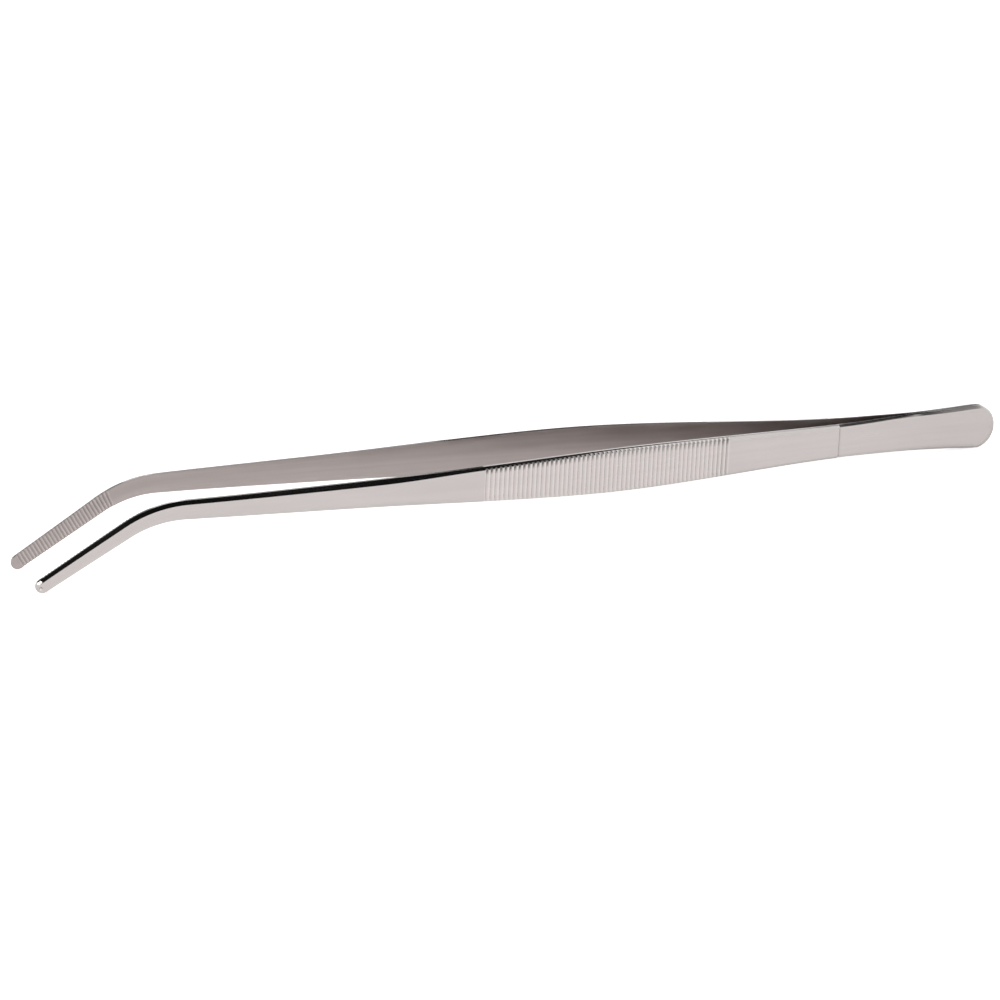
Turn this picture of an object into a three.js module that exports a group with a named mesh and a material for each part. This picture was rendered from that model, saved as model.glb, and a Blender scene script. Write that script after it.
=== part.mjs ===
// Aquascaping tweezers: two long spring-steel arms, welded face to face at the butt, with angled jaws.
//
// Both arms are swept along one spine, which runs from the butt to the jaw tip in the middle of the blade:
// straight, then an arc where the jaw bends down, then straight. "along" is the distance from the butt on it.
// The front arm lies on the -Y side and the rear arm is its mirror image, except that its jaw teeth are set
// half a pitch further on, so that the closed jaws mesh. Each arm is divided into a tail, which the welds
// hold still, a thin spring leaf, which bends, and the arm beyond it, which swings.
// Millimetres, +Z up. The tool stands on the tips of its jaws and on the edge of its butt.

import * as THREE from "three";

// ---- Driving dimensions ----
const SPINE_LENGTH = 304.2;
const BUTT_RADIUS = 6.7;
const BEND = { start: 257, radius: 33, angle: THREE.MathUtils.degToRad(31) };
const TAIL_END = 22; // the welded tail ends here, and the spring leaf begins
const STEP = 53.1; // the ground step where the spring leaf meets the thicker arm
const CUT_GAP = 0.3; // between two nodes of one arm
const SEAM_GAP = 0.3; // between the two tails, bridged by the welds

// [along, value] points, joined by smooth curves.
const BLADE_WIDTH = [
  [5.6, 12.9], [12, 12.3], [30, 11.1], [50, 10.15], [75, 10.85], [100, 12.1], [125, 12.7],
  [150, 11.55], [185, 8.95], [220, 7.05], [250, 5.78], [SPINE_LENGTH, 4.1],
];
const HALF_OPENING = [
  [TAIL_END, 0], [40, 1.4], [60, 3.25], [85, 6], [110, 8.8], [140, 11.2],
  [175, 12.3], [215, 12.2], [250, 11.9], [275, 10.95], [SPINE_LENGTH, 10.1],
];
// [along, thickness, bevel drop, bevel depth] where the section has that size, blended between. The edges
// along the outer face are bevelled: "drop" is measured down the face, "depth" into the thickness.
const TAIL_SECTIONS = [[14, 1.5, 0.8, 0.5], [36, 1.3, 0.7, 0.8]];
const ARM_SECTIONS = [
  [STEP, 1.55, 1.0, 0.7], [145, 1.9, 0.8, 0.55], [169, 1.9, 0.8, 0.55], [200, 1.9, 1.45, 0.9],
  [BEND.start, 1.9, 1.1, 0.85], [SPINE_LENGTH, 1.7, 0.8, 0.8],
];
const JAW_TIP = { thickness: 0.8, rounding: 1.6 };

const GRIP_RIBS = { start: 91.3, pitch: 1.433, count: 55, depth: 0.3 };
const JAW_TEETH = { start: 270.9, pitch: 1.06, count: 29, depth: 0.3 };
const BUTT_WELD_WIDTH = 1.4;
const SPOT_WELD = { diameter: 5, along: { spot_weld_aft: 9.5, spot_weld_fore: 16.5 } };

const TIP_RADIUS = BLADE_WIDTH.at(-1)[1] / 2;
const SECTION_STEP = { leaf: 5, arm: 9, bend: 2.5, closest: 0.08 };
const END_ARC = { first: 5, step: 14 }; // degrees between sections round the butt and the jaw tip

const STEEL = new THREE.MeshStandardMaterial({ color: 0xc9c6c3, roughness: 0.32, metalness: 1 });
const WELD_METAL = new THREE.MeshStandardMaterial({ color: 0xa8a5a2, roughness: 0.45, metalness: 1 });

// ---- Curves ----

// The cubic spline through [along, value] points, as a function of along. It starts out level, and stays
// at its first value before its first point.
function smoothCurve(points) {
  const [x, y] = [points.map((p) => p[0]), points.map((p) => p[1])];
  const last = points.length - 1;
  const bend = new Array(points.length).fill(0); // second derivative at each point
  const carry = new Array(points.length).fill(0);
  bend[0] = (3 * (y[1] - y[0])) / (x[1] - x[0]) ** 2;
  carry[0] = 0.5;
  for (let i = 1; i < last; i++) {
    const [before, after] = [x[i] - x[i - 1], x[i + 1] - x[i]];
    const turn = (y[i + 1] - y[i]) / after - (y[i] - y[i - 1]) / before;
    const pivot = 2 * (before + after) - before * carry[i - 1];
    carry[i] = after / pivot;
    bend[i] = (6 * turn - before * bend[i - 1]) / pivot;
  }
  for (let i = last - 1; i >= 0; i--) bend[i] -= carry[i] * bend[i + 1];
  return (along) => {
    const at = THREE.MathUtils.clamp(along, x[0], x[last]);
    const i = Math.max(1, x.findIndex((knot) => knot >= at));
    const span = x[i] - x[i - 1];
    const [a, b] = [(x[i] - at) / span, (at - x[i - 1]) / span];
    const cubic = (a ** 3 - a) * bend[i - 1] + (b ** 3 - b) * bend[i];
    return a * y[i - 1] + b * y[i] + (cubic * span ** 2) / 6;
  };
}

const bladeWidth = smoothCurve(BLADE_WIDTH);
const halfOpening = smoothCurve(HALF_OPENING);

// The section's size at a distance along the arm.
function sectionSize(along) {
  const sections = along < STEP ? TAIL_SECTIONS : ARM_SECTIONS;
  const next = Math.max(1, sections.findIndex(([end]) => end >= along));
  const after = sections.at(sections.at(-1)[0] < along ? -1 : next);
  const before = sections[sections.indexOf(after) - 1];
  const share = THREE.MathUtils.smoothstep(along, before[0], after[0]);
  const [, thickness, drop, depth] = before.map((value, i) => THREE.MathUtils.lerp(value, after[i], share));
  return { thickness, drop, depth };
}

// Half the blade's width, with a round butt and a round jaw tip.
function halfWidth(along) {
  const half = bladeWidth(along) / 2;
  const roundEnd = (radius, fromEnd) => Math.sqrt(radius ** 2 - (radius - fromEnd) ** 2);
  if (along < BUTT_RADIUS) return Math.min(half, roundEnd(BUTT_RADIUS, along));
  if (along > SPINE_LENGTH - TIP_RADIUS) return Math.min(half, roundEnd(TIP_RADIUS, SPINE_LENGTH - along));
  return half;
}

// The spine's point and the direction across the blade, both in the XZ plane, before the tool is tilted.
function spine(along) {
  const turned = THREE.MathUtils.clamp((along - BEND.start) / BEND.radius, 0, BEND.angle);
  const beyond = Math.max(0, along - BEND.start - BEND.radius * BEND.angle);
  const x = -Math.min(along, BEND.start) - BEND.radius * Math.sin(turned) - beyond * Math.cos(turned);
  const z = -BEND.radius * (1 - Math.cos(turned)) - beyond * Math.sin(turned);
  return { x, z, across: new THREE.Vector2(-Math.sin(turned), Math.cos(turned)) };
}

// 1 at the bottom of a groove, 0 on the crests between grooves and outside the grooved stretch.
function groove({ start, pitch, count }, along) {
  const turns = (along - start) / pitch;
  if (turns < -0.5 || turns > count - 0.5) return 0;
  return 1 - 2 * Math.abs(turns - Math.round(turns));
}

// ---- Solids ----

// A closed solid through sections that all have the same number of points, in order along it.
function loft(sections) {
  const round = sections[0].length;
  const index = [];
  for (let i = 0; i + 1 < sections.length; i++) {
    for (let j = 0; j < round; j++) {
      const [a, b] = [i * round + j, i * round + ((j + 1) % round)];
      index.push(a, b, b + round, a, b + round, a + round);
    }
  }
  const end = (sections.length - 1) * round;
  for (let j = 1; j + 1 < round; j++) index.push(0, j + 1, j, end, end + j, end + j + 1);
  const geometry = new THREE.BufferGeometry().setFromPoints(sections.flat());
  geometry.setIndex(index);
  geometry.computeVertexNormals();
  return geometry;
}

// The six corners of an arm's section. side is -1 for the front arm and 1 for the rear one.
function armSection(along, side) {
  const at = spine(along);
  const size = sectionSize(along);
  const teeth = side < 0 ? JAW_TEETH : { ...JAW_TEETH, start: JAW_TEETH.start + JAW_TEETH.pitch / 2 };
  const tipShare = THREE.MathUtils.clamp((SPINE_LENGTH - along) / JAW_TIP.rounding, 0, 1);
  const tipCut = (size.thickness - JAW_TIP.thickness) * (1 - Math.sqrt(1 - (1 - tipShare) ** 2));
  const rib = groove(GRIP_RIBS, along) * GRIP_RIBS.depth;
  const half = halfWidth(along);
  const drop = Math.min(size.drop, half / 2);
  const face = SEAM_GAP / 2 + halfOpening(along);
  const inner = face + groove(teeth, along) * JAW_TEETH.depth;
  const edge = face + size.thickness - size.depth - tipCut;
  const outer = face + size.thickness - rib - tipCut;
  const faceHalf = half - drop * (1 - rib / size.depth);
  const corners = [
    [-half, inner], [half, inner], [half, edge], [faceHalf, outer], [-faceHalf, outer], [-half, edge],
  ];
  const points = corners.map(
    ([up, out]) => new THREE.Vector3(at.x + at.across.x * up, side * out, at.z + at.across.y * up),
  );
  return side > 0 ? points : points.reverse();
}

// How far in from the end of a round end the arc has turned by an angle in degrees.
function inFromEnd(radius, angle) {
  return radius * (1 - Math.cos(THREE.MathUtils.degToRad(angle)));
}

// Distances along the arm at which a stretch of it needs a section.
function stations(from, to) {
  const found = [from, to];
  const add = (start, end, step) => {
    for (let at = start; at < end; at += step) found.push(at);
  };
  add(TAIL_END, STEP, SECTION_STEP.leaf);
  add(STEP, BEND.start, SECTION_STEP.arm);
  add(BEND.start, JAW_TEETH.start, SECTION_STEP.bend);
  for (const { start, pitch, count } of [GRIP_RIBS, JAW_TEETH]) {
    add(start - pitch / 2, start + count * pitch, pitch / 2);
  }
  for (let angle = END_ARC.first; angle < 90; angle += END_ARC.step) {
    found.push(inFromEnd(BUTT_RADIUS, angle), SPINE_LENGTH - inFromEnd(TIP_RADIUS, angle));
  }
  return found
    .filter((at) => at >= from && at <= to)
    .sort((a, b) => a - b)
    .filter((at, i, all) => i === 0 || at - all[i - 1] > SECTION_STEP.closest);
}

function armPiece(name, side, from, to) {
  const mesh = new THREE.Mesh(loft(stations(from, to).map((along) => armSection(along, side))), STEEL);
  mesh.name = name;
  return mesh;
}

// The bead that closes the seam round the butt, a crescent as thick as the seam.
function buttWeld() {
  const corner = Math.acos(1 - BLADE_WIDTH[0][0] / BUTT_RADIUS);
  const outline = new THREE.Shape();
  outline.absarc(-BUTT_RADIUS, 0, BUTT_RADIUS - CUT_GAP / 2, -corner, corner, false);
  outline.absarc(-BUTT_RADIUS, 0, BUTT_RADIUS - BUTT_WELD_WIDTH, corner, -corner, true);
  const options = { depth: SEAM_GAP, bevelEnabled: false, curveSegments: 14 };
  const bead = new THREE.ExtrudeGeometry(outline, options);
  bead.rotateX(Math.PI / 2).translate(0, SEAM_GAP / 2, 0);
  const mesh = new THREE.Mesh(bead, WELD_METAL);
  mesh.name = "butt_weld";
  return mesh;
}

// A round nugget between the tails.
function spotWeld(name, along) {
  const nugget = new THREE.CylinderGeometry(SPOT_WELD.diameter / 2, SPOT_WELD.diameter / 2, SEAM_GAP, 24);
  const mesh = new THREE.Mesh(nugget.translate(-along, 0, 0), WELD_METAL);
  mesh.name = name;
  return mesh;
}

// ---- Assembly ----

// The tilt that brings the butt's lower edge and the jaw tips to the same height.
function restTilt() {
  const lowerEdge = stations(0, SPINE_LENGTH).map((along) => {
    const at = spine(along);
    return { along, x: at.x - at.across.x * halfWidth(along), z: at.z - at.across.y * halfWidth(along) };
  });
  let tilt = 0;
  for (let pass = 0; pass < 6; pass++) {
    const height = (p) => p.z * Math.cos(tilt) - p.x * Math.sin(tilt);
    const lowest = (points) => points.reduce((a, b) => (height(b) < height(a) ? b : a));
    const butt = lowest(lowerEdge.filter((p) => p.along < STEP));
    const tip = lowest(lowerEdge.filter((p) => p.along > BEND.start));
    tilt = Math.atan2(butt.z - tip.z, butt.x - tip.x);
  }
  return tilt;
}

const tweezers = new THREE.Group();
const buttEnd = inFromEnd(BUTT_RADIUS, END_ARC.first);
const tipEnd = SPINE_LENGTH - inFromEnd(TIP_RADIUS, END_ARC.first);
for (const [arm, side] of Object.entries({ front: -1, rear: 1 })) {
  tweezers.add(
    armPiece(`${arm}_tail`, side, buttEnd, TAIL_END - CUT_GAP / 2),
    armPiece(`${arm}_spring`, side, TAIL_END + CUT_GAP / 2, STEP - CUT_GAP),
    armPiece(`${arm}_arm`, side, STEP, tipEnd),
  );
}
tweezers.add(buttWeld());
for (const [name, along] of Object.entries(SPOT_WELD.along)) tweezers.add(spotWeld(name, along));

tweezers.rotation.y = restTilt();
const box = new THREE.Box3().setFromObject(tweezers, true);
tweezers.position.set(-(box.min.x + box.max.x) / 2, 0, -box.min.z);

export default tweezers;
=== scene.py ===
"""Aquascaping tweezers: the finished blades, welds and studio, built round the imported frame.

Each arm is one continuous strip of steel that bends at its spring leaf. Sizes are in millimetres and are
turned into metres where a vertex is placed. "along" is the distance from the butt on the spine, "up" the
distance across the blade and "out" the distance from the tool's middle plane.
"""

import math

import bpy
import numpy as np
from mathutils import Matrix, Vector


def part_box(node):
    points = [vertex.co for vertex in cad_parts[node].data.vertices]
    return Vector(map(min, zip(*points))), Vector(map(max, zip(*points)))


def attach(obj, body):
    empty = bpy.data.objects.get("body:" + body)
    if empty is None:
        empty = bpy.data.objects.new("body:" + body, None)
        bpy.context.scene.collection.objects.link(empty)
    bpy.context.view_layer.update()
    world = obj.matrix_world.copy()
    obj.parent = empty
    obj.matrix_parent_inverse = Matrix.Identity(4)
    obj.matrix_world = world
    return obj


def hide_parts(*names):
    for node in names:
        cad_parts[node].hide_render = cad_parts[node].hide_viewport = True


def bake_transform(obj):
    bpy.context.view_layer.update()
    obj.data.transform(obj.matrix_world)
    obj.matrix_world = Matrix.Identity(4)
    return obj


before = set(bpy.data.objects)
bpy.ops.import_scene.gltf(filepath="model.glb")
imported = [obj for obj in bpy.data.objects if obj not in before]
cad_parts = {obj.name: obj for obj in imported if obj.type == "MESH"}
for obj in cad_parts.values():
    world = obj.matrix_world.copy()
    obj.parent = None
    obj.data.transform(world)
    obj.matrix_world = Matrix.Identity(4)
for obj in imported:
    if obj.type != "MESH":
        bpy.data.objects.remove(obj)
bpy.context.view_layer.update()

MM = 0.001
SIDES = {"front": -1, "rear": 1}

# ---- The blade's driving dimensions, the same as the CAD part's ----
SPINE_LENGTH = 304.2
BUTT_RADIUS = 6.7
BEND_START = 257.0
BEND_RADIUS = 33.0
BEND_ANGLE = math.radians(31)
TAIL_END = 22.0
STEP = 53.1
SEAM_GAP = 0.3
BLADE_WIDTH = [
    (5.6, 12.9), (12, 12.3), (30, 11.1), (50, 10.15), (75, 10.85), (100, 12.1), (125, 12.7),
    (150, 11.55), (185, 8.95), (220, 7.05), (250, 5.78), (SPINE_LENGTH, 4.1),
]
HALF_OPENING = [
    (TAIL_END, 0), (40, 1.4), (60, 3.25), (85, 6), (110, 8.8), (140, 11.2),
    (175, 12.3), (215, 12.2), (250, 11.9), (275, 10.95), (SPINE_LENGTH, 10.1),
]
# (along, thickness, bevel drop, bevel depth) where the section has that size, blended between. The outer
# face's bevel is measured as its drop down the face and its depth into the steel.
TAIL_SECTIONS = [(14, 1.5, 0.8, 0.5), (36, 1.3, 0.7, 0.8)]
ARM_SECTIONS = [
    (STEP, 1.55, 1.0, 0.7), (145, 1.9, 0.8, 0.55), (169, 1.9, 0.8, 0.55), (200, 1.9, 1.45, 0.9),
    (BEND_START, 1.9, 1.1, 0.85), (SPINE_LENGTH, 1.7, 0.8, 0.8),
]
TIP_THICKNESS = 0.8
TIP_ROUNDING = 1.6
RIBS = {"start": 91.3, "pitch": 1.433, "count": 55, "depth": 0.3, "width": 1.3}
TEETH = {"start": 270.9, "pitch": 1.06, "count": 29, "depth": 0.3, "width": 1.0}
BUTT_WELD_WIDTH = 1.4
SPOT_WELD_DIAMETER = 5.0
SPOT_WELDS = {"spot_weld_aft": 9.5, "spot_weld_fore": 16.5}

# ---- What the finished surface adds ----
END_INSET = 0.03  # the finished outline stops this far inside the ends
OUTLINE_INSET = 0.03  # and this far inside the edges
FACE_INSET = 0.01  # and this far below the outer face
INNER_FILLET = 0.06  # rounding of the inner face's edges
INNER_FILLET_FULL_AT = 75.0  # on the leaf and up to here it's sharper
LEAF_INNER_SHARE = 0.2
EDGE_FILLET = 0.15  # rounding between the edge and its bevel
JAW_EDGE_FILLET = 0.42  # the jaws' edges are polished rounder
JAW_ROUNDING_RUN = 18.0  # from the start of the bend, over this length
SHOULDER_FILLET = 0.09  # rounding between the bevel and the face
BUTT_CORNER = 0.25  # rounding where the round butt meets the blade's side
FACE_CROWN = 0.04  # how far the outer face stands proud of its own edges
STEP_RUN = 0.22  # the ground step rises over this length
STEP_SCORE = 0.12  # depth of the fine line that grinding leaves at the foot of the step
SCORE_HALF_WIDTH = 0.25
SCORE_AT = STEP - STEP_RUN - 0.15
RIDGE_PAINTED_HIGHLIGHT = 0.9  # painted highlight: how far the ridges of the ribs and teeth are painted brighter than plain steel
CUT_END_PAINTED_REFLECTION = 4.6  # a painted dark reflection leaves the upper ends of the grip's grooves darkest
CUT_END_REACH = 0.8  # as far down the face from its upper bevel as this
CUT_END_FULL = (125, 155)  # they are darkest beyond this stretch, and less so before it
RIM_PAINTED_SHADE = 1.5  # painted shade: a darker rim along the lower edge
RIM_WIDTH = 1.2
RIM_END = 190.0  # it fades out over this length from the butt
BUTT_DARKENING = 0.3  # the colour is a little darker towards the butt
BUTT_DARKENING_END = 60.0
# the greatest painted shade a vertex can take
MOST_PAINTED_SHADE = 4.0
INNER_SIDE = 0.6  # up to this height above the inner face a vertex takes the teeth's painted shade and highlight, not the ribs'
GRIND_FADE = (0.65 * TAIL_END, 1.1 * TAIL_END)  # the ground butt's rougher edge fades out over this stretch


# ---- Curves ----

def smooth_curve(points):
    """The cubic spline through (along, value) points, level at its first one and constant before it."""
    x, y = (np.array(values, float) for values in zip(*points))
    last = len(x) - 1
    span = np.diff(x)
    rise = np.diff(y) / span
    system = np.zeros((last + 1, last + 1))
    target = np.zeros(last + 1)
    system[0, 0:2] = 2, 1
    target[0] = 6 * rise[0] / span[0]
    for i in range(1, last):
        system[i, i - 1:i + 2] = span[i - 1], 2 * (span[i - 1] + span[i]), span[i]
        target[i] = 6 * (rise[i] - rise[i - 1])
    system[last, last] = 1
    bend = np.linalg.solve(system, target)

    def value(along):
        at = np.clip(along, x[0], x[-1])
        i = np.clip(np.searchsorted(x, at), 1, last)
        a, b = (x[i] - at) / span[i - 1], (at - x[i - 1]) / span[i - 1]
        cubic = (a ** 3 - a) * bend[i - 1] + (b ** 3 - b) * bend[i]
        return a * y[i - 1] + b * y[i] + cubic * span[i - 1] ** 2 / 6

    return value


blade_width = smooth_curve(BLADE_WIDTH)
half_opening = smooth_curve(HALF_OPENING)
TIP_RADIUS = BLADE_WIDTH[-1][1] / 2


def smoothstep(value, start, end):
    t = np.clip((value - start) / (end - start), 0, 1)
    return t * t * (3 - 2 * t)


def soft_min(a, b, radius):
    """The lesser of a and b, with the corner between them rounded."""
    overlap = np.clip(0.5 + 0.5 * (b - a) / radius, 0, 1)
    return b + (a - b) * overlap - radius * overlap * (1 - overlap)


def half_width(along):
    """Half the blade's width, with a round butt and a round jaw tip."""
    half = blade_width(along) / 2
    butt = np.sqrt(np.clip(BUTT_RADIUS ** 2 - (BUTT_RADIUS - along) ** 2, 0, None))
    tip = np.sqrt(np.clip(TIP_RADIUS ** 2 - (TIP_RADIUS - (SPINE_LENGTH - along)) ** 2, 0, None))
    half = np.where(along < BUTT_RADIUS, soft_min(half, butt, BUTT_CORNER), half)
    half = np.where(along > SPINE_LENGTH - TIP_RADIUS, np.minimum(half, tip), half)
    return np.clip(half - OUTLINE_INSET, 0, None)


def blend_sections(sections, along):
    """The thickness, bevel drop and bevel depth at a distance along the arm."""
    size = [np.full_like(along, value) for value in sections[0][1:]]
    for (start, *_), (end, *section) in zip(sections, sections[1:]):
        share = smoothstep(along, start, end)
        size = [a + (b - a) * share for a, b in zip(size, section)]
    return size


def section_size(along):
    past_step = smoothstep(along, STEP - STEP_RUN, STEP)
    leaf, arm = blend_sections(TAIL_SECTIONS, along), blend_sections(ARM_SECTIONS, along)
    return [a + (b - a) * past_step for a, b in zip(leaf, arm)]


def in_cuts(cuts, along, shift=0.0):
    return (along > cuts["start"] + shift - cuts["pitch"] / 2) & (
        along < cuts["start"] + shift + (cuts["count"] - 0.5) * cuts["pitch"])


def groove(cuts, along, shift=0.0):
    """1 on the floor of a rounded groove and 0 on the lands between grooves."""
    turns = (along - cuts["start"] - shift) / cuts["pitch"]
    away = np.abs(turns - np.round(turns)) * cuts["pitch"]
    return np.where(in_cuts(cuts, along, shift), smoothstep(-away, -cuts["width"] / 2, 0), 0)


def step_score(along):
    """The fine V that grinding leaves on the leaf, just short of the step."""
    return STEP_SCORE * np.clip(1 - np.abs(along - SCORE_AT) / SCORE_HALF_WIDTH, 0, 1)


# ---- Placing ----

def node_middle(node):
    low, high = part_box(node)
    return (low + high) / 2


def spine_frame():
    """The straight spine's point at the butt and unit direction towards the jaws, from the spot welds."""
    aft, fore = (node_middle(name) for name in SPOT_WELDS)
    towards_jaws = (fore - aft).normalized()
    return aft - towards_jaws * SPOT_WELDS["spot_weld_aft"] * MM, towards_jaws


BUTT_POINT, TOWARDS_JAWS = spine_frame()
TILT = math.atan2(TOWARDS_JAWS.z, -TOWARDS_JAWS.x)


def place(along, up, out):
    """The points in the frame, in metres, for distances along, up and out from the middle plane."""
    along, up, out = np.broadcast_arrays(along, up, out)
    turned = np.clip((along - BEND_START) / BEND_RADIUS, 0, BEND_ANGLE)
    beyond = np.clip(along - BEND_START - BEND_RADIUS * BEND_ANGLE, 0, None)
    x = -np.minimum(along, BEND_START) - BEND_RADIUS * np.sin(turned) - beyond * np.cos(turned)
    z = -BEND_RADIUS * (1 - np.cos(turned)) - beyond * np.sin(turned)
    x = x - np.sin(turned) * up
    z = z + np.cos(turned) * up
    row_x = BUTT_POINT.x + (x * math.cos(TILT) + z * math.sin(TILT)) * MM
    row_z = BUTT_POINT.z + (z * math.cos(TILT) - x * math.sin(TILT)) * MM
    return np.stack([row_x, out * MM, row_z], axis=-1)


def spine_point(along):
    return Vector(place(along, 0.0, 0.0).tolist())


# ---- Meshes ----

def new_object(name, points, faces, materials, face_materials=None):
    mesh = bpy.data.meshes.new(name)
    mesh.from_pydata(points.tolist(), [], faces)
    for material in materials:
        mesh.materials.append(material)
    if face_materials is not None:
        mesh.polygons.foreach_set("material_index", face_materials)
    mesh.polygons.foreach_set("use_smooth", [True] * len(mesh.polygons))
    mesh.validate()
    obj = bpy.data.objects.new(name, mesh)
    bpy.context.scene.collection.objects.link(obj)
    return obj


def add_attribute(obj, name, kind, values):
    attribute = obj.data.attributes.new(name, kind, "POINT")
    field = "vector" if kind == "FLOAT_VECTOR" else "value"
    attribute.data.foreach_set(field, np.asarray(values, np.float32).ravel())


def crisp_normals(obj):
    weighted = obj.modifiers.new("crisp_normals", "WEIGHTED_NORMAL")
    weighted.mode = "FACE_AREA"
    weighted.weight = 80
    weighted.keep_sharp = True


def blade_stations(teeth_shift):
    """Distances along the arm at which the strip has a row of vertices."""
    found = [END_INSET, SPINE_LENGTH - END_INSET]

    def spread(start, end, step):
        found.extend(np.linspace(start, end, max(2, round((end - start) / step) + 1)))

    spread(BUTT_RADIUS, STEP, 1.5)
    spread(STEP - 2 * STEP_RUN - 0.3, STEP + 0.2, 0.04)
    spread(STEP + 0.2, BEND_START, 2.5)
    spread(BEND_START, SPINE_LENGTH - TIP_RADIUS, 0.8)
    for angle in np.radians(np.arange(4, 90, 4)):
        found.append(BUTT_RADIUS - (BUTT_RADIUS - END_INSET) * math.cos(angle))
        found.append(SPINE_LENGTH - TIP_RADIUS + (TIP_RADIUS - END_INSET) * math.cos(angle))
    crowded = []
    for cuts, shift in ((RIBS, 0.0), (TEETH, teeth_shift)):
        offsets = [share * cuts["width"] / 2 for share in (-1, -0.7, -0.45, -0.2, 0.2, 0.45, 0.7, 1)]
        first = cuts["start"] + shift
        for index in range(cuts["count"]):
            crowded.extend(first + index * cuts["pitch"] + offset for offset in offsets)
        crowded.append(first - cuts["pitch"] / 2)
        crowded.append(first + (cuts["count"] - 0.5) * cuts["pitch"])
    crowded = np.unique(np.round(crowded, 4))
    calm = [at for at in found if np.abs(crowded - at).min() > 0.2]
    return np.unique(np.round(np.concatenate([calm, crowded]), 4))


def fillet(start, corner, end, count):
    """Points on the curve that rounds a corner, each an (inset, height) pair."""
    points = []
    for t in np.linspace(0, 1, count):
        before, between, after = (1 - t) ** 2, 2 * t * (1 - t), t * t
        points.append([before * a + between * b + after * c for a, b, c in zip(start, corner, end)])
    return points


def blade_levels(along, cut, teeth_shift):
    """The rings round the outline, from the inner face to the outer one, as (inset, height) pairs."""
    thickness, drop, depth = section_size(along)
    share = np.clip((SPINE_LENGTH - along) / TIP_ROUNDING, 0, 1)
    thin = 1 - (1 - TIP_THICKNESS / thickness) * (1 - np.sqrt(1 - (1 - share) ** 2))
    tooth = groove(TEETH, along, teeth_shift) * TEETH["depth"]
    edge = (thickness - depth) * thin
    top = thickness * thin - cut - FACE_CROWN - FACE_INSET
    slope = depth * thin / drop
    shoulder = (top - edge) / slope
    zero = np.zeros_like(along)
    near, far = shoulder - SHOULDER_FILLET, shoulder + SHOULDER_FILLET
    in_jaw = smoothstep(along, BEND_START, BEND_START + JAW_ROUNDING_RUN)
    rounding = (EDGE_FILLET + (JAW_EDGE_FILLET - EDGE_FILLET) * in_jaw) * thin
    past_leaf = smoothstep(along, STEP, INNER_FILLET_FULL_AT)
    inner = INNER_FILLET * (LEAF_INNER_SHARE + (1 - LEAF_INNER_SHARE) * past_leaf)
    reach = np.minimum(CUT_END_REACH, (blade_width(along) / 2 - far) / 2)
    return [
        *fillet((inner, tooth), (zero, tooth), (zero, tooth + inner), 4),
        *fillet((zero, edge - rounding), (zero, edge), (rounding, edge + slope * rounding), 5),
        *fillet((near, edge + slope * near), (shoulder, top), (far, top), 4),
        (far + reach, top),
    ]


INNER_LEVELS, WALL_LEVELS = 4, 9


def painted_light_and_tone_at(flat, teeth_shift):
    """The painted shade and highlight at each vertex, with a darker tone towards the butt: 0 on plain
    steel, below 0 on ridges (painted highlight), up to the most painted shade in the grooves.
    """
    along, up, height = flat.T
    # painted shade on the floors of the grip's grooves, stronger on the last grooves towards the butt
    rib = groove(RIBS, along)
    ribs = rib * (1 + smoothstep(-along, -RIBS["start"] - 6, -RIBS["start"]))
    # painted highlight on the lands between the grip's grooves
    ribs = ribs - RIDGE_PAINTED_HIGHLIGHT * in_cuts(RIBS, along)
    # painted dark reflection at the upper ends of the grooves, next to the upper bevel
    near_bevel = 1 - np.abs(half_width(along) - section_size(along)[1] - up) / CUT_END_REACH
    notch = np.clip(1.5 * near_bevel, 0, 1) * np.clip(1.5 * rib, 0, 1)
    ribs = ribs + CUT_END_PAINTED_REFLECTION * notch * (0.6 + 0.4 * smoothstep(along, *CUT_END_FULL))
    # painted shade along the score line at the foot of the step
    score = np.clip(1 - np.abs(along - SCORE_AT) / 0.4, 0, 1)
    # painted shade along the lower edge
    lower = smoothstep(-up, -BUTT_RADIUS / 2, BUTT_RADIUS / 2)
    past_butt = np.hypot(BUTT_RADIUS - along, up) - BUTT_RADIUS + OUTLINE_INSET
    past_edge = np.where(along < BUTT_RADIUS, past_butt, -up - half_width(along))
    rim = RIM_PAINTED_SHADE * lower * smoothstep(past_edge, -RIM_WIDTH, 0) * smoothstep(-along, -RIM_END, 0)
    # darker towards the butt
    butt = BUTT_DARKENING * smoothstep(-along, -BUTT_DARKENING_END, 0)
    # painted shade in the teeth's grooves and painted highlight on their crests
    teeth = 1.8 * groove(TEETH, along, teeth_shift) - RIDGE_PAINTED_HIGHLIGHT * in_cuts(TEETH, along, teeth_shift)
    return np.where(height < INNER_SIDE, teeth, ribs + score + rim + butt)


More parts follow.
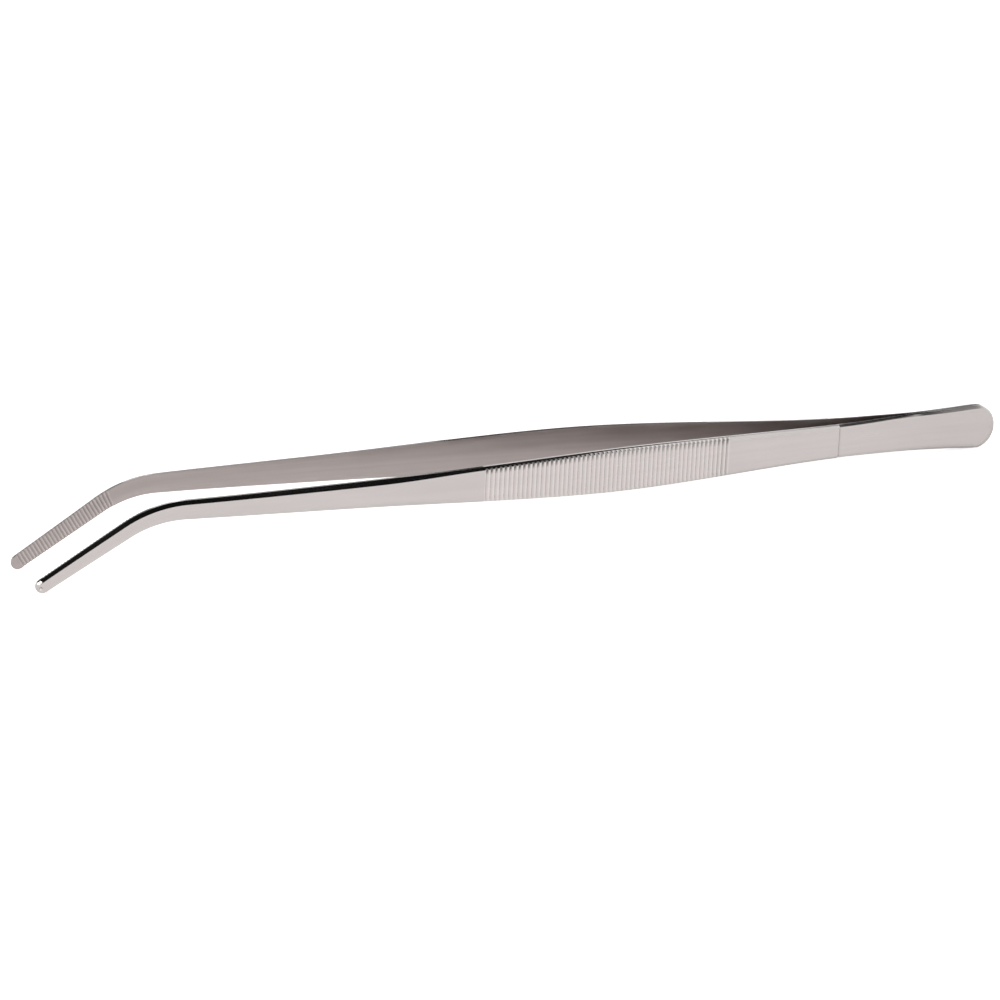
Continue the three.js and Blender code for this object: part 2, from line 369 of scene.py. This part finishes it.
def make_blade(name, side, materials):
    teeth_shift = TEETH["pitch"] / 2 if side > 0 else 0.0
    station = blade_stations(teeth_shift)
    rows = len(station)
    half = half_width(station)
    half[0] = half[-1] = 0
    # The outline runs along the upper edge to the jaw tip and back along the lower edge.
    along = np.concatenate([station, station[-2:0:-1]])
    up = np.concatenate([half, -half[-2:0:-1]])
    around = len(along)
    # Towards the middle of the blade: straight across it, or to the centre of a round end.
    to_centre = np.clip(BUTT_RADIUS - along, 0, None) - np.clip(along - SPINE_LENGTH + TIP_RADIUS, 0, None)
    inward = np.stack([to_centre, -up])
    inward = inward / np.linalg.norm(inward, axis=0)
    cut = groove(RIBS, along) * RIBS["depth"] + step_score(along)

    flat = []  # (along, up, height above the inner face) of every vertex
    for inset, height in blade_levels(along, cut, teeth_shift):
        flat.append(np.stack([along + inward[0] * inset, up + inward[1] * inset, height], axis=-1))
    levels = len(flat)
    flat = list(np.concatenate(flat))

    def index(level, k):
        return level * around + k % around

    faces, face_materials = [], []
    for level in range(levels - 1):
        for k in range(around):
            above, next_above = index(level + 1, k), index(level + 1, k + 1)
            faces.append((index(level, k), index(level, k + 1), next_above, above))
            inner = level < INNER_LEVELS - 1
            face_materials.append(1 if inner else 2 if level < WALL_LEVELS else 0)

    def close_face(level, columns, crown, material, flip):
        """Fills the inside of one ring with rows that join its upper and lower edges."""
        lines = []
        for i in range(1, rows - 1):
            first, last = flat[index(level, i)], flat[index(level, around - i)]
            line = [index(level, i)]
            for column in range(1, columns):
                t = column / columns
                point = first + (last - first) * t
                point[2] += crown * (1 - (2 * t - 1) ** 2)
                line.append(len(flat))
                flat.append(point)
            line.append(index(level, around - i))
            lines.append(line)
        found = []
        for one, two in zip(lines, lines[1:]):
            found.extend((one[j], two[j], two[j + 1], one[j + 1]) for j in range(columns))
        butt, tip = index(level, 0), index(level, rows - 1)
        found.extend((butt, lines[0][j], lines[0][j + 1]) for j in range(columns))
        found.extend((lines[-1][j], tip, lines[-1][j + 1]) for j in range(columns))
        faces.extend(face[::-1] if flip else face for face in found)
        face_materials.extend([material] * len(found))

    close_face(levels - 1, 8, FACE_CROWN, 0, False)
    close_face(0, 8, 0.0, 1, True)
    flat = np.array(flat)
    out = side * (SEAM_GAP / 2 + half_opening(flat[:, 0]) + flat[:, 2])
    points = place(flat[:, 0], flat[:, 1], out)
    if side > 0:
        faces = [face[::-1] for face in faces]
    blade = new_object(name, points, faces, materials, face_materials)
    add_attribute(blade, "strip", "FLOAT_VECTOR", flat * MM)
    add_attribute(blade, "painted_light_and_tone", "FLOAT", painted_light_and_tone_at(flat, teeth_shift))
    crisp_normals(blade)
    return blade


# ---- Materials ----

def nodes_of(material):
    material.use_nodes = True
    return material.node_tree.nodes, material.node_tree.links


def noise_layer(nodes, links, coordinates, scale, detail=3.0):
    """Noise stretched by a scale in cycles per metre along each direction."""
    mapping = nodes.new("ShaderNodeMapping")
    mapping.inputs["Scale"].default_value = scale
    noise = nodes.new("ShaderNodeTexNoise")
    noise.inputs["Scale"].default_value = 1.0
    noise.inputs["Detail"].default_value = detail
    links.new(coordinates, mapping.inputs["Vector"])
    links.new(mapping.outputs["Vector"], noise.inputs["Vector"])
    return noise.outputs["Fac"]


def remap(nodes, links, value, low, high, start=0.3, end=0.7):
    remapped = nodes.new("ShaderNodeMapRange")
    remapped.inputs["From Min"].default_value = start
    remapped.inputs["From Max"].default_value = end
    remapped.inputs["To Min"].default_value = low
    remapped.inputs["To Max"].default_value = high
    links.new(value, remapped.inputs["Value"])
    return remapped.outputs["Result"]


def combine(nodes, links, operation, a, b):
    math_node = nodes.new("ShaderNodeMath")
    math_node.operation = operation
    links.new(a, math_node.inputs[0])
    links.new(b, math_node.inputs[1])
    return math_node.outputs["Value"]


def mix_colours(nodes, links, factor, dark, light):
    mix = nodes.new("ShaderNodeMix")
    mix.data_type = "RGBA"
    mix.inputs["A"].default_value = (*dark, 1)
    mix.inputs["B"].default_value = (*light, 1)
    links.new(factor, mix.inputs["Factor"])
    return mix.outputs["Result"]


def steel(name, tint, roughness, grain, grain_depth, painted_light_and_tone, ground_end):
    """Stainless steel brushed lengthwise.

    tint is (dark, light) and roughness (low, high). The painted shade and highlight argument says how much
    of the colour is lost in a painted shaded cut and gained on a painted highlit ridge, and ground_end how
    much rougher the steel is round the ground butt.
    """
    material = bpy.data.materials.new(name)
    nodes, links = nodes_of(material)
    shader = nodes["Principled BSDF"]
    shader.inputs["Metallic"].default_value = 1.0
    strip = nodes.new("ShaderNodeAttribute")
    strip.attribute_name = "strip"
    at = strip.outputs["Vector"]
    lines = noise_layer(nodes, links, at, (35, grain, grain))
    scratches = noise_layer(nodes, links, at, (120, grain * 3.1, grain * 3.1), 2.0)
    patches = noise_layer(nodes, links, at, (40, 320, 320), 2.0)
    both = combine(nodes, links, "ADD", lines, scratches)
    streaks = noise_layer(nodes, links, at, (9, 700, 700), 2.0)
    shade = remap(nodes, links, combine(nodes, links, "ADD", patches, streaks), 0.0, 1.0, 0.7, 1.3)
    colour = mix_colours(nodes, links, shade, *tint)
    # painted shade darkens the colour and painted highlight brightens it, read from the vertices' attribute
    painted_light_input = nodes.new("ShaderNodeAttribute")
    painted_light_input.attribute_name = "painted_light_and_tone"
    brightest, darkest = 1 + RIDGE_PAINTED_HIGHLIGHT * painted_light_and_tone, 1 - MOST_PAINTED_SHADE * painted_light_and_tone
    painted_light_factor = remap(nodes, links, painted_light_input.outputs["Fac"], brightest, darkest, -RIDGE_PAINTED_HIGHLIGHT, MOST_PAINTED_SHADE)
    shaded = nodes.new("ShaderNodeVectorMath")
    shaded.operation = "SCALE"
    links.new(colour, shaded.inputs[0])
    links.new(painted_light_factor, shaded.inputs["Scale"])
    colour = shaded.outputs["Vector"]
    links.new(colour, shader.inputs["Base Color"])
    smear = remap(nodes, links, patches, 0.0, roughness[1] - roughness[0])
    streak = remap(nodes, links, lines, roughness[0], roughness[0] + 0.06)
    split = nodes.new("ShaderNodeSeparateXYZ")
    links.new(at, split.inputs["Vector"])
    fade_start, fade_end = (at_end * MM for at_end in GRIND_FADE)
    ground = remap(nodes, links, split.outputs["X"], ground_end, 0.0, fade_start, fade_end)
    finish = combine(nodes, links, "ADD", smear, streak)
    links.new(combine(nodes, links, "ADD", finish, ground), shader.inputs["Roughness"])
    bump = nodes.new("ShaderNodeBump")
    bump.inputs["Strength"].default_value = 1.0
    bump.inputs["Distance"].default_value = grain_depth * MM
    links.new(both, bump.inputs["Height"])
    links.new(bump.outputs["Normal"], shader.inputs["Normal"])
    return material


def weld_steel():
    """Ground weld metal, with the fine ripple of the bead showing through the grinding."""
    material = bpy.data.materials.new("weld_metal")
    nodes, links = nodes_of(material)
    shader = nodes["Principled BSDF"]
    shader.inputs["Metallic"].default_value = 1.0
    place_on = nodes.new("ShaderNodeTexCoord")
    grains = noise_layer(nodes, links, place_on.outputs["Object"], (2500, 2500, 2500), 4.0)
    shade = remap(nodes, links, grains, 0.0, 1.0)
    colour = mix_colours(nodes, links, shade, (0.3, 0.28, 0.26), (0.52, 0.5, 0.48))
    links.new(colour, shader.inputs["Base Color"])
    links.new(remap(nodes, links, grains, 0.3, 0.5), shader.inputs["Roughness"])
    bump = nodes.new("ShaderNodeBump")
    bump.inputs["Strength"].default_value = 0.6
    bump.inputs["Distance"].default_value = 0.02 * MM
    links.new(grains, bump.inputs["Height"])
    links.new(bump.outputs["Normal"], shader.inputs["Normal"])
    return material


BLADE_MATERIALS = [
    steel(
        "satin_face", ((0.475, 0.437, 0.428), (0.505, 0.466, 0.456)), (0.16, 0.22),
        grain=2200, grain_depth=0.0015, painted_light_and_tone=0.22, ground_end=0.0,
    ),
    steel(
        "brushed_inner_face", ((0.335, 0.297, 0.288), (0.4, 0.354, 0.344)), (0.28, 0.36),
        grain=3200, grain_depth=0.004, painted_light_and_tone=0.24, ground_end=0.0,
    ),
    steel(
        "polished_bevel", ((0.45, 0.423, 0.414), (0.48, 0.451, 0.441)), (0.06, 0.1),
        grain=2600, grain_depth=0.001, painted_light_and_tone=0.22, ground_end=0.25,
    ),
]
WELD = weld_steel()

# ---- The blades ----

for arm, side in SIDES.items():
    blade = make_blade(f"{arm}_blade", side, BLADE_MATERIALS)
    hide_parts(f"{arm}_tail", f"{arm}_spring", f"{arm}_arm")
    spine_point(TAIL_END)
    spine_point(STEP)
    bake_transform(blade)


# ---- The welds ----

def make_butt_bead():
    """The bead that closes the seam round the butt: a ripple-edged ribbon that bulges between the tails."""
    corner = math.radians(70)
    turns = np.linspace(-corner, corner, 121)
    ripple = 0.012 * np.sin(turns * 70)
    section = []  # (radius in from the butt's edge, out) round the bead, in order
    half = SEAM_GAP / 2 + 0.05
    for angle in np.radians(np.arange(-90, 91, 22.5)):
        section.append((0.22 - 0.12 * math.cos(angle), half * math.sin(angle)))
    for angle in np.radians(np.arange(-90, 91, 30)):
        section.append((BUTT_WELD_WIDTH - 0.1 + 0.1 * math.cos(angle), -half * math.sin(angle)))
    flat = []
    for turn, wave in zip(turns, ripple):
        fade = 0.3 * smoothstep(abs(turn), 0.8 * corner, corner)
        for inset, out in section:
            radius = BUTT_RADIUS - OUTLINE_INSET - inset + (wave - fade) * (inset < BUTT_WELD_WIDTH / 2)
            flat.append((BUTT_RADIUS - radius * math.cos(turn), radius * math.sin(turn), out))
    round_count = len(section)
    faces = []
    for i in range(len(turns) - 1):
        for j in range(round_count):
            a, b = i * round_count + j, i * round_count + (j + 1) % round_count
            faces.append((a, b, b + round_count, a + round_count))
    faces.append(tuple(range(round_count))[::-1])
    faces.append(tuple(range((len(turns) - 1) * round_count, len(turns) * round_count)))
    flat = np.array(flat)
    return new_object("butt_bead", place(flat[:, 0], flat[:, 1], flat[:, 2]), faces, [WELD])


def make_nugget(name, along):
    """A spot weld between the tails: a waisted disc with a slightly uneven rim."""
    turns = np.linspace(0, 2 * math.pi, 48, endpoint=False)
    rim = SPOT_WELD_DIAMETER / 2 * (1 + 0.02 * np.sin(3 * turns) + 0.012 * np.sin(7 * turns + 1))
    profile = [(0.6, 0.5), (0.97, 0.46), (0.95, 0.2), (0.94, 0), (0.95, -0.2), (0.97, -0.46), (0.6, -0.5)]
    flat = []
    for reach, out in profile:
        for turn, radius in zip(turns, rim):
            across = reach * radius
            flat.append((along + across * math.cos(turn), across * math.sin(turn), out * SEAM_GAP))
    count = len(turns)
    faces = []
    for ring in range(len(profile) - 1):
        for k in range(count):
            a, b = ring * count + k, ring * count + (k + 1) % count
            faces.append((a, b, b + count, a + count))
    faces.append(tuple(range(count))[::-1])
    faces.append(tuple(range((len(profile) - 1) * count, len(profile) * count)))
    flat = np.array(flat)
    return new_object(name, place(flat[:, 0], flat[:, 1], flat[:, 2]), faces, [WELD])


butt_bead = make_butt_bead()
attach(butt_bead, "tail")
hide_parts("butt_weld")
for weld, along in SPOT_WELDS.items():
    nugget = make_nugget(weld.replace("weld", "nugget"), along)
    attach(nugget, "tail")
    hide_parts(weld)


# ---- Studio ----

WALL_LIGHT = 1.3  # radiance of the tent's white walls
CEILING_LIGHT = 0.01
WALL_TOP = 0.27  # height at which the end walls stop, as the sine of the elevation
SIDE_WALL_TOP = 0.78  # and the left and right ones
CEILING_SPAN = (-0.6, 0.515)  # the dark ceiling between the left and right walls, along X
BLUR = 0.012
TABLE_GLOW = 0.62  # radiance of the light table from below


def make_floor():
    """A white light table: matt acrylic that glows a little, so that shadows on it stay faint."""
    size = 6.0
    corners = np.array([(-size, -size, 0), (size, -size, 0), (size, size, 0), (-size, size, 0)])
    material = bpy.data.materials.new("white_floor")
    nodes, _ = nodes_of(material)
    shader = nodes["Principled BSDF"]
    shader.inputs["Base Color"].default_value = (0.9, 0.9, 0.9, 1)
    shader.inputs["Roughness"].default_value = 0.9
    shader.inputs["Specular IOR Level"].default_value = 0.2
    shader.inputs["Emission Color"].default_value = (1, 1, 1, 1)
    shader.inputs["Emission Strength"].default_value = TABLE_GLOW
    floor = new_object("floor", corners, [(0, 1, 2, 3)], [material])


def direction_to(azimuth, elevation):
    """The unit vector towards a direction in degrees. Azimuth 0 is in front of the tool, 90 at +X."""
    a, e = math.radians(azimuth), math.radians(elevation)
    return Vector((math.sin(a) * math.cos(e), -math.cos(a) * math.cos(e), math.sin(e)))


def make_world():
    """A white light tent: white walls to the left and right, low white ends, and a dark slot overhead."""
    world = bpy.data.worlds.new("light_tent")
    bpy.context.scene.world = world
    world.use_nodes = True
    nodes, links = world.node_tree.nodes, world.node_tree.links
    direction = nodes.new("ShaderNodeTexCoord")
    split = nodes.new("ShaderNodeSeparateXYZ")
    links.new(direction.outputs["Generated"], split.inputs["Vector"])

    def past(axis, limit, rising=True):
        step = nodes.new("ShaderNodeMapRange")
        step.interpolation_type = "SMOOTHSTEP"
        step.inputs["From Min"].default_value = limit - BLUR
        step.inputs["From Max"].default_value = limit + BLUR
        step.inputs["To Min"].default_value = 0 if rising else 1
        step.inputs["To Max"].default_value = 1 if rising else 0
        links.new(split.outputs[axis], step.inputs["Value"])
        return step.outputs["Result"]

    left, right = CEILING_SPAN
    across = combine(nodes, links, "MULTIPLY", past("X", left), past("X", right, False))
    slot = combine(nodes, links, "MULTIPLY", across, past("Z", WALL_TOP))
    overhead = combine(nodes, links, "MAXIMUM", slot, past("Z", SIDE_WALL_TOP))
    light = remap(nodes, links, overhead, WALL_LIGHT, CEILING_LIGHT, 0, 1)
    links.new(light, nodes["Background"].inputs["Strength"])
    nodes["Background"].inputs["Color"].default_value = (1, 1, 1, 1)


def softbox(name, azimuth, elevation, distance, size, brightness):
    """A square soft light aimed at the tool, of that radiance."""
    light = bpy.data.lights.new(name, "AREA")
    light.shape = "SQUARE"
    light.size = size
    light.energy = brightness * math.pi * size ** 2
    lamp = bpy.data.objects.new(name, light)
    bpy.context.scene.collection.objects.link(lamp)
    away = direction_to(azimuth, elevation)
    lamp.location = away * distance
    lamp.rotation_mode = "QUATERNION"
    lamp.rotation_quaternion = away.to_track_quat("Z", "Y")


def make_camera():
    azimuth, elevation = math.radians(-23.6), math.radians(18.87)
    distance = 1.401
    target = Vector((-0.00827, 0, 0.0042))
    back = Vector((
        math.sin(azimuth) * math.cos(elevation),
        -math.cos(azimuth) * math.cos(elevation),
        math.sin(elevation),
    ))
    data = bpy.data.cameras.new("camera")
    data.sensor_width = 36
    data.lens = 178.3
    camera = bpy.data.objects.new("camera", data)
    bpy.context.scene.collection.objects.link(camera)
    camera.location = target + back * distance
    camera.rotation_mode = "QUATERNION"
    camera.rotation_quaternion = back.to_track_quat("Z", "Y")
    bpy.context.scene.camera = camera


make_floor()
make_world()
softbox("left_key", 280, 30, 1.8, 1.2, 2.8)
softbox("right_fill", 100, 25, 1.8, 1.0, 1.6)
softbox("back", 169, 27, 2.0, 0.44, 1.3)
softbox("back_fade", 162, 22, 2.0, 0.3, 0.8)
softbox("back_edge", 190, 33, 2.0, 0.9, 0.45)
make_camera()
bpy.context.scene.view_settings.view_transform = "Standard"
